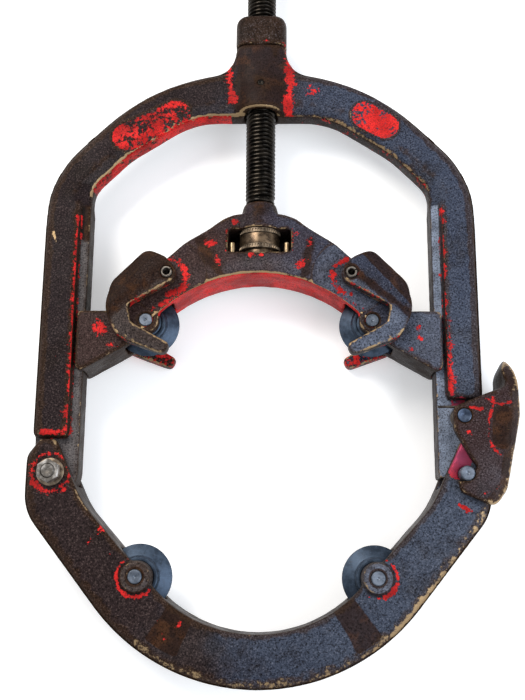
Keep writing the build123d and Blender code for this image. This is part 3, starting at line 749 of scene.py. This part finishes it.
def soft_slide(co):
    """The window and the eyes stay crisper than the slide's body."""
    window = (np.abs(co[:, 0]) < 25) & (co[:, 1] > 137) & (co[:, 1] < 162)
    eyes = to_point(folded(co), WHEEL)
    return np.where(window, 0.3, np.where(eyes < 11, 0.5, 1.0))


TONGUE_HALF, FORK_HALF = 10.0, 10.4       # half thickness of the hinge's tongue and of the fork's gap
FORK_R, FORK_SWING_R = 17.5, 24.9         # the fork's floor and its far corner, about the hinge bolt


def roll_gate(co, n):
    """Round the gate's outer edges, and keep the hinge's fork clear for the tongue."""
    co = rolled(co, n, GATE_OUTLINE, 8.0, 2.8)
    away = to_point(co, HINGE)
    inside = (away < FORK_R) | (away < FORK_SWING_R) & (np.abs(n[:, 2]) > 0.25)
    inside &= np.abs(co[:, 2]) < FORK_HALF
    co[:, 2] = np.where(inside, np.sign(co[:, 2]) * FORK_HALF, co[:, 2])
    return co


def dent_pads(co, n):
    """Round the frame's outer edges; give both blank pads a raised rim and an uneven floor."""
    co = rolled(co, n, FRAME_OUTLINE, 6.5, 2.8)
    tongue = to_point(co, HINGE) < FORK_SWING_R
    co[:, 2] = np.where(tongue, np.clip(co[:, 2], -TONGUE_HALF, TONGUE_HALF), co[:, 2])
    front = (n[:, 2] > 0.5) & (co[:, 2] > 0)
    lift = np.zeros(len(co))
    for pad in (LEFT_PAD, RIGHT_PAD):
        inside = in_pad(co, *pad)
        lift += near(np.abs(inside + 1.2), 1.6) * 0.5
        ripple = np.array([noise.noise(Vector(v) * 0.45) for v in co * (inside > 0)[:, None]])
        lift += np.where(inside > 1.5, ripple * 0.55, 0)
    co = co.copy()
    co[:, 2] += np.where(front, lift, 0)
    return co


def spot_faces(co, n):
    """Sink the slide's faces a little round each guide's pin."""
    away = to_point(folded(co), GUIDE)
    co = co.copy()
    co[:, 2] += toward_middle(co, n, 0.6) * near(away - 26, 1.5) * 0.9
    return co


def fold_guide(co, n):
    """Bevel a guide's outer side, and sink its hook below its upper part with a worn fold between them."""
    q, y, z = folded(co), co[:, 1], co[:, 2]
    across = across_fold(q)
    drop = 1.5 / (1 + np.exp(across / 2.0)) + 1.1 * np.exp(-((across - 2.5) / 3.2) ** 2)
    outer = np.clip((np.abs(z) - 21) / 8, 0, 1)
    bevel = np.clip(past_bevel(q), 0, 11) / 11 * np.clip((y - 97) / 9, 0, 1)
    crown = 1.3 * np.clip((q[:, 0] - 98) / 10, 0, 1) ** 2
    co = co.copy()
    co[:, 2] -= np.sign(z) * outer * (drop + crown + 4.2 * bevel)
    return co


def latch_pad(co, n):
    """Sink the latch's pad a little, with fine ripples across it."""
    x, y = co[:, 0], co[:, 1]
    inside = np.clip(in_pad(co, *LATCH_PAD), 0, 1)
    co = co.copy()
    co[:, 2] -= np.where(n[:, 2] > 0.6, inside * (0.45 + 0.16 * np.sin(y * 3.4 + x * 0.5)), 0)
    return co


casting("upper_frame", IRON_FRAME, frame_paint, 1.1, 20, 0.12, dent_pads, soft_frame)
casting("lower_frame", IRON_GATE, gate_paint, 1.0, 20, 0.14, roll_gate, soft_gate)
casting("slide", IRON_SLIDE, slide_paint, 0.85, 16, 0.12, spot_faces, soft_slide)
for side in ("left", "right"):
    casting("guide_" + side, IRON_GUIDE, guide_paint, 0.62, 16, 0.12, fold_guide)
casting("latch", IRON_LATCH, latch_paint, 0.72, 16, 0.14, latch_pad)
casting("feed_nut", IRON_NUT, nut_paint, 0.75, 10, 0.10)
casting("handle_hub", IRON_HANDLE, None, 0.8, 8, 0.12)


# ------------------------------------------------------------------ turned and wound pieces
JOURNAL_R, JOURNAL_TOP = 7.9, 182.3       # the screw's journal in the slide
THREAD_LOW, SEAT_R = 184.0, 9.4           # the thread's lower end, and the screw's seat in the handle hub


def screw_thread():
    """The feed screw's rolled right-hand thread: its mesh, and where it starts and ends."""
    low, high = THREAD_LOW, span("handle_hub", 1)[0] - 1.0
    depth, around, per = 1.75, 60, 8
    section = [(0.0, 0.0), (0.10, 0.0), (0.26, 0.42), (0.40, 0.92), (0.50, 1.0), (0.60, 0.92),
               (0.74, 0.42), (0.90, 0.0)]
    first, turns = low - PITCH, int((high - low) / PITCH) + 3
    verts, faces = [], []
    for i in range(turns * per + 1):
        share, cut = section[i % per]
        for k in range(around):
            y = first + (i // per + share + k / around) * PITCH
            fade = min(1, max(0, (y - low) / 2), max(0, (high - y) / 2))
            r = SCREW_R - 0.03 - depth * cut * fade
            r = min(r, SCREW_R - 1.6 + max(0, min(y - low, high - y)) * 0.8)
            a = 2 * pi * k / around
            verts.append((r * sin(a), min(max(y, low), high), r * cos(a)))
    for i in range(turns * per):
        for k in range(around):
            if k < around - 1:
                faces.append((i * around + k, i * around + k + 1, (i + 1) * around + k + 1,
                              (i + 1) * around + k))
            elif i + per + 1 <= turns * per:
                faces.append((i * around + k, (i + per) * around, (i + per + 1) * around,
                              (i + 1) * around + k))
    return verts, faces, low, high


def screw_object():
    """The feed screw whole: thread, journal and handle seat in one."""
    verts, faces, low, high = screw_thread()
    rod = add_object("feed_screw_thread", verts, faces, 60)
    bottom, top = span("feed_screw", 1)
    neck = soften([(0, bottom), (JOURNAL_R, bottom), (JOURNAL_R, JOURNAL_TOP), (SCREW_R - 0.5, JOURNAL_TOP),
                   (SCREW_R - 0.5, low), (SCREW_R - 1.7, low + 0.5), (0, low + 0.5)], 0.5)
    end = soften([(0, high - 0.5), (SCREW_R - 1.7, high - 0.5), (SCREW_R - 0.4, high),
                  (SCREW_R - 0.4, high + 0.9), (SEAT_R, high + 1.0), (SEAT_R, top), (0, top)], 0.4)
    parts = [turned("neck", neck, (0, 0, 0), "Y"), turned("end", end, (0, 0, 0), "Y"), rod]
    return join("feed_screw_rod", parts)


def join(name, parts):
    """Join pieces into one object."""
    bm = bmesh.new()
    for part in parts:
        bm.from_mesh(part.data)
        bpy.data.objects.remove(part)
    mesh = bpy.data.meshes.new(name)
    bm.to_mesh(mesh)
    bm.free()
    mesh.shade_smooth()
    mesh.set_sharp_from_angle(angle=radians(38))
    obj = bpy.data.objects.new(name, mesh)
    bpy.context.scene.collection.objects.link(obj)
    return obj


stand_for(screw_object(), "feed_screw", STEEL_SCREW)


def wheel(node):
    """A cutter wheel: grooved hub, shoulder and two ground bevels that meet in an edge."""
    x, y, z = centre(node)
    bore, half = 4.85, (span(node, 2)[1] - span(node, 2)[0]) / 2
    r = (span(node, 0)[1] - span(node, 0)[0]) / 2
    side = [(bore, half - 0.7), (bore + 0.7, half), (9.4, half), (9.9, half - 0.4), (10.6, half - 0.4),
            (11.1, half), (12.9, half), (13.7, half - 0.8), (13.7, 5.6), (14.6, 4.7), (15.4, 4.3),
            (r - 0.35, 0.42), (r, 0.12)]
    profile = soften([(a, -b) for a, b in side], 0.25, 2) + soften(list(reversed(side)), 0.25, 2)
    return turned(node + "_ground", profile, (x, y, z), n=96, sharp=24)


def plain_pin(node, bevel=0.6, dimple=1.1, dish=0.0):
    """A pin with bevelled ends and a small centre mark in each."""
    x, y, z = centre(node)
    r = (span(node, 0)[1] - span(node, 0)[0]) / 2
    half = (span(node, 2)[1] - span(node, 2)[0]) / 2
    end = [(0, half - 0.5 - dish), (dimple * 0.5, half - 0.35 - dish), (dimple, half - dish),
           (r - bevel * 1.6, half - dish * 0.3), (r - bevel, half), (r, half - bevel)]
    profile = [(a, -b) for a, b in end] + list(reversed(end))
    return turned(node + "_turned", soften(profile, 0.2, 2), (x, y, z), n=48, sharp=28)


def roll_pin(node):
    """A rolled spring pin: a thick tube with a slit."""
    x, y, z = centre(node)
    r, bore, half = 4.0, 2.55, (span(node, 2)[1] - span(node, 2)[0]) / 2
    side = [(bore, half - 0.4), (bore + 0.4, half), (r - 0.6, half), (r, half - 0.8)]
    loop = [(a, -b) for a, b in side] + list(reversed(side))
    n, verts, faces = 44, [], []
    for k in range(n + 1):
        a = radians(35) + radians(342) * k / n
        verts += [(x + q * cos(a), y + q * sin(a), z + h) for q, h in loop]
    m = len(loop)
    for k in range(n):
        faces += [(k * m + i, k * m + (i + 1) % m, (k + 1) * m + (i + 1) % m, (k + 1) * m + i)
                  for i in range(m)]
    faces += [tuple(range(m)), tuple(range(n * m, n * m + m))]
    return add_object(node + "_rolled", verts, faces, 30)


def hexagon(name, at, flats, low, high, bore, crown):
    """A hexagonal nut or head, its corners turned off on the faces named in crown."""
    steps, verts = 72, []
    flat_r = flats / 2 - 0.3

    def outline(k):
        a = 2 * pi * k / steps
        return flats / 2 / cos((a + pi / 6) % (pi / 3) - pi / 6)

    def rim(level, out):
        """A hexagonal ring, its corners turned off when crowned."""
        drop = 0.55 if (level == low and "low" in crown) or (level == high and "high" in crown) else 0.0
        return [(outline(k), level - out * max(0.0, outline(k) - flat_r) * drop) for k in range(steps)]

    rings = [[(bore, low + 0.4)] * steps, [(bore + 0.4, low)] * steps] if bore else [[(0, low)] * steps]
    rings += [[(flat_r, low)] * steps] if "low" in crown else []
    rings += [rim(low, -1), rim(high, 1)]
    rings += [[(flat_r, high)] * steps] if "high" in crown else []
    rings += [[(bore + 0.4, high)] * steps, [(bore, high - 0.4)] * steps] if bore else [[(0, high)] * steps]
    index = []
    for row in rings:
        if row[0][0] < 1e-6:
            index.append([len(verts)] * steps)
            verts.append((at[0], at[1], row[0][1]))
        else:
            index.append(list(range(len(verts), len(verts) + steps)))
            verts += [(at[0] + r * cos(2 * pi * k / steps), at[1] + r * sin(2 * pi * k / steps), h)
                      for k, (r, h) in enumerate(row)]
    pairs = list(zip(index, index[1:])) + ([(index[-1], index[0])] if bore else [])
    faces = []
    for low_ring, high_ring in pairs:
        for k in range(steps):
            loop = [low_ring[k], low_ring[(k + 1) % steps], high_ring[(k + 1) % steps], high_ring[k]]
            loop = [v for i, v in enumerate(loop) if v not in loop[:i]]
            if len(loop) > 2:
                faces.append(loop)
    return add_object(name, verts, faces, 26)


def coil(name, at, r, turns, wire_r, low, leg, start, hand=1):
    """A torsion spring about Z: its turns, then a straight leg; hand -1 mirrors it across."""
    steps = int(turns * 28)
    path = []
    for k in range(steps + 1):
        a = start - 2 * pi * turns * (1 - k / steps)
        path.append((at[0] + hand * r * cos(a), at[1] + r * sin(a),
                     low + wire_r + 2.05 * wire_r * turns * k / steps))
    x, y, z = path[-1]
    path += [(x - hand * sin(start) * leg * s, y + cos(start) * leg * s, z) for s in (0.1, 0.4, 1.0)]
    return wire(name, path, wire_r)


for level in ("upper", "lower"):
    for side in ("left", "right"):
        node = f"cutter_wheel_{level}_{side}"
        stand_for(wheel(node), node, STEEL_WHEEL)
        node = f"wheel_pin_{level}_{side}"
        stand_for(plain_pin(node), node, STEEL_PIN)
stand_for(plain_pin("catch_pin", 0.9, 1.4), "catch_pin", STEEL_PIN)
stand_for(plain_pin("latch_pin", 0.4, 0.8, 0.5), "latch_pin", STEEL_DARK_PIN)
stand_for(plain_pin("feed_nut_pin", 0.4, 0.5), "feed_nut_pin", STEEL_SCREW)
stand_for(plain_pin("handle_pin", 0.5, 0.7), "handle_pin", STEEL_BOLT)

for side, sign in (("left", -1), ("right", 1)):
    stand_for(roll_pin("guide_pin_" + side), "guide_pin_" + side, STEEL_ROLL)
    spring = coil(f"guide_spring_{side}_wound", (sign * GUIDE[0], GUIDE[1]), 5.4, 4.0, 0.75, -3.4, 11.0,
                  radians(-35), sign)
    stand_for(spring, "guide_spring_" + side, STEEL_SPRING)

    bar = "handle_bar_" + side
    profile = soften([(0, 14), (7.4, 14), (7.4, 30), (9.5, 30), (9.5, 164.99), (0, 165)],
                     [0, 0.4, 0, 0.6, 4.5, 0], 6)
    profile = [(r, sign * h) for r, h in profile]
    stand_for(turned(bar + "_turned", profile, (0, centre(bar)[1], 0), "X"), bar, STEEL_BAR)

    post = "window_post_" + side
    low, high = span(post, 1)
    x, _, z = centre(post)
    profile = soften([(0, low), (1.9, low), (1.9, high), (0, high)], [0, 0.1, 1.8, 0], 5)
    stand_for(turned(post + "_round", profile, (x, 0, z), "Y", 28), post, BRASS_POST)

stand_for(coil("latch_spring_wound", LATCH_PIVOT[:2], 7.0, 3.0, 0.9, 14.8, 17.0, radians(90)),
          "latch_spring", STEEL_SPRING)


def ribbed(node):
    """A thrust bearing: two thin races with a row of needle ends between them."""
    low, high = span(node, 1)
    n, verts, rim = 180, [], span(node, 0)[1]
    edge = [(8.05, 0), (rim - 0.4, 0), (rim - 0.1, 0.2), (rim - 0.1, 0.5), (rim - 1.1, 0.6)]
    rows = [(r, low + h) for r, h in edge] + [(r, high - h) for r, h in reversed(edge)]
    for i, (r, h) in enumerate(rows):
        for k in range(n):
            rib = 0.9 if i in (4, 5) and k % 4 in (0, 1) else 0.0
            a = 2 * pi * k / n
            verts.append(((r + rib) * sin(a), h, (r + rib) * cos(a)))
    m = len(rows)
    faces = [(i * n + k, i * n + (k + 1) % n, ((i + 1) % m) * n + (k + 1) % n, ((i + 1) % m) * n + k)
             for i in range(m) for k in range(n)]
    return add_object(node + "_needles", verts, faces, 30)


for node in ("thrust_bearing_upper", "thrust_bearing_lower"):
    stand_for(ribbed(node), node, STEEL_WASHER)
for node in ("thrust_collar", "thrust_washer"):
    (low, high), rim = span(node, 1), span(node, 0)[1]
    profile = soften([(8.02, low), (rim - 0.7, low), (rim - 0.1, low + 0.6), (rim - 0.1, high - 0.6),
                      (rim - 0.7, high), (8.02, high)], 0.3, 2)
    stand_for(turned(node + "_turned", profile, (0, 0, 0), "Y"), node, STEEL_COLLAR)
y, z = centre("collar_pin")[1:]
profile = soften([(0, -14.3), (2.35, -14.3), (2.35, 14.3), (0, 14.3)], [0, 0.4, 0.4, 0])
stand_for(turned("collar_pin_turned", profile, (0, y, z), "X", 28), "collar_pin", STEEL_PIN)

for node in ("hinge_washer_front", "hinge_washer_back"):
    low, high = span(node, 2)
    profile = soften([(4.85, low), (9.5, low), (9.5, high), (4.85, high)], 0.5, 3, True)
    stand_for(turned(node + "_turned", profile, (HINGE[0], HINGE[1], 0)), node, STEEL_WASHER)
FLATS, BOLT_R = 14.2, 4.7                 # across the flats of the hinge's nut and bolt head; its shank
low, high = span("hinge_nut", 2)
nut = hexagon("hinge_nut_hex", HINGE, FLATS, low, high, BOLT_R, ("high", "low"))
stand_for(nut, "hinge_nut", STEEL_BOLT)


def bolt():
    """The hinge bolt: hexagon head at the back, plain shank, threaded end at the front."""
    low, high = span("hinge_bolt", 2)
    head = hexagon("head", HINGE, FLATS, low, -22.3, 0, ("low",))
    rows, h = [(0, -23.0), (BOLT_R, -23.0), (BOLT_R, 20.0)], 20.0
    while h < high - 1.4:
        rows += [(4.72, h + 0.2), (4.72, h + 0.5), (4.15, h + 0.95)]
        h += 1.25
    rows += [(4.6, h + 0.1), (4.0, high), (1.2, high), (0, high - 0.3)]
    return join("hinge_bolt_turned", [head, turned("shank", rows, (HINGE[0], HINGE[1], 0), n=48)])


stand_for(bolt(), "hinge_bolt", STEEL_BOLT)

# ------------------------------------------------------------------ floor, lights and camera
scene = bpy.context.scene
floor_z = CAD_BOX[0][2] / MM - 0.4
corners = [(x * 3000, y * 3000 + 100, floor_z) for x, y in ((-1, -1), (1, -1), (1, 1), (-1, 1))]
floor = add_object("floor", corners, [(0, 1, 2, 3)], 0)
paper = Shade("pale_floor")
paper.bump(paper.noise(400, 2), 0.0002, 0.2)
tint = paper.mix(paper.step(paper.noise(3, 2), 0.3, 0.7), (0.86, 0.86, 0.865), (0.89, 0.89, 0.89))
floor.data.materials.append(paper.finish(Base_Color=tint, Roughness=0.9, Emission_Color=(1, 1, 1),
                                         Emission_Strength=0.32))

world = bpy.data.worlds.new("studio")
scene.world = world
world.use_nodes = True
world.node_tree.nodes["Background"].inputs["Color"].default_value = (0.93, 0.96, 1.0, 1)
world.node_tree.nodes["Background"].inputs["Strength"].default_value = 0.75


def lamp(name, at, target, size, watts, colour=(1, 1, 1)):
    """A soft square lamp, in metres, aimed at a point."""
    data = bpy.data.lights.new(name, "AREA")
    data.size, data.energy, data.color = size, watts, colour
    obj = bpy.data.objects.new(name, data)
    obj.location = at
    obj.rotation_euler = (Vector(target) - Vector(at)).to_track_quat("-Z", "Y").to_euler()
    scene.collection.objects.link(obj)


lamp("key", (-0.55, 0.75, 0.95), (0, 0.1, 0), 0.55, 13, (1.0, 0.95, 0.88))
lamp("fill", (0.95, -0.2, 0.8), (0, 0.05, 0), 0.9, 12, (0.86, 0.92, 1.0))

# The camera stands, in metres, where its view matches the photograph.
camera = bpy.data.objects.new("camera", bpy.data.cameras.new("camera"))
camera.data.lens, camera.data.sensor_width = 50.7, 36
camera.data.clip_start, camera.data.clip_end = 0.02, 20
forward, up = Vector((-0.0194, 0.2332, -0.9722)).normalized(), Vector((-0.0032, 0.9724, 0.2333))
right = forward.cross(up).normalized()
up = right.cross(forward)
camera.matrix_world = Matrix.Translation((0.0163, -0.0944, 0.6903)) @ Matrix(
    (right, up, -forward)).transposed().to_4x4()
scene.collection.objects.link(camera)
scene.camera = camera
scene.view_settings.view_transform = "Standard"
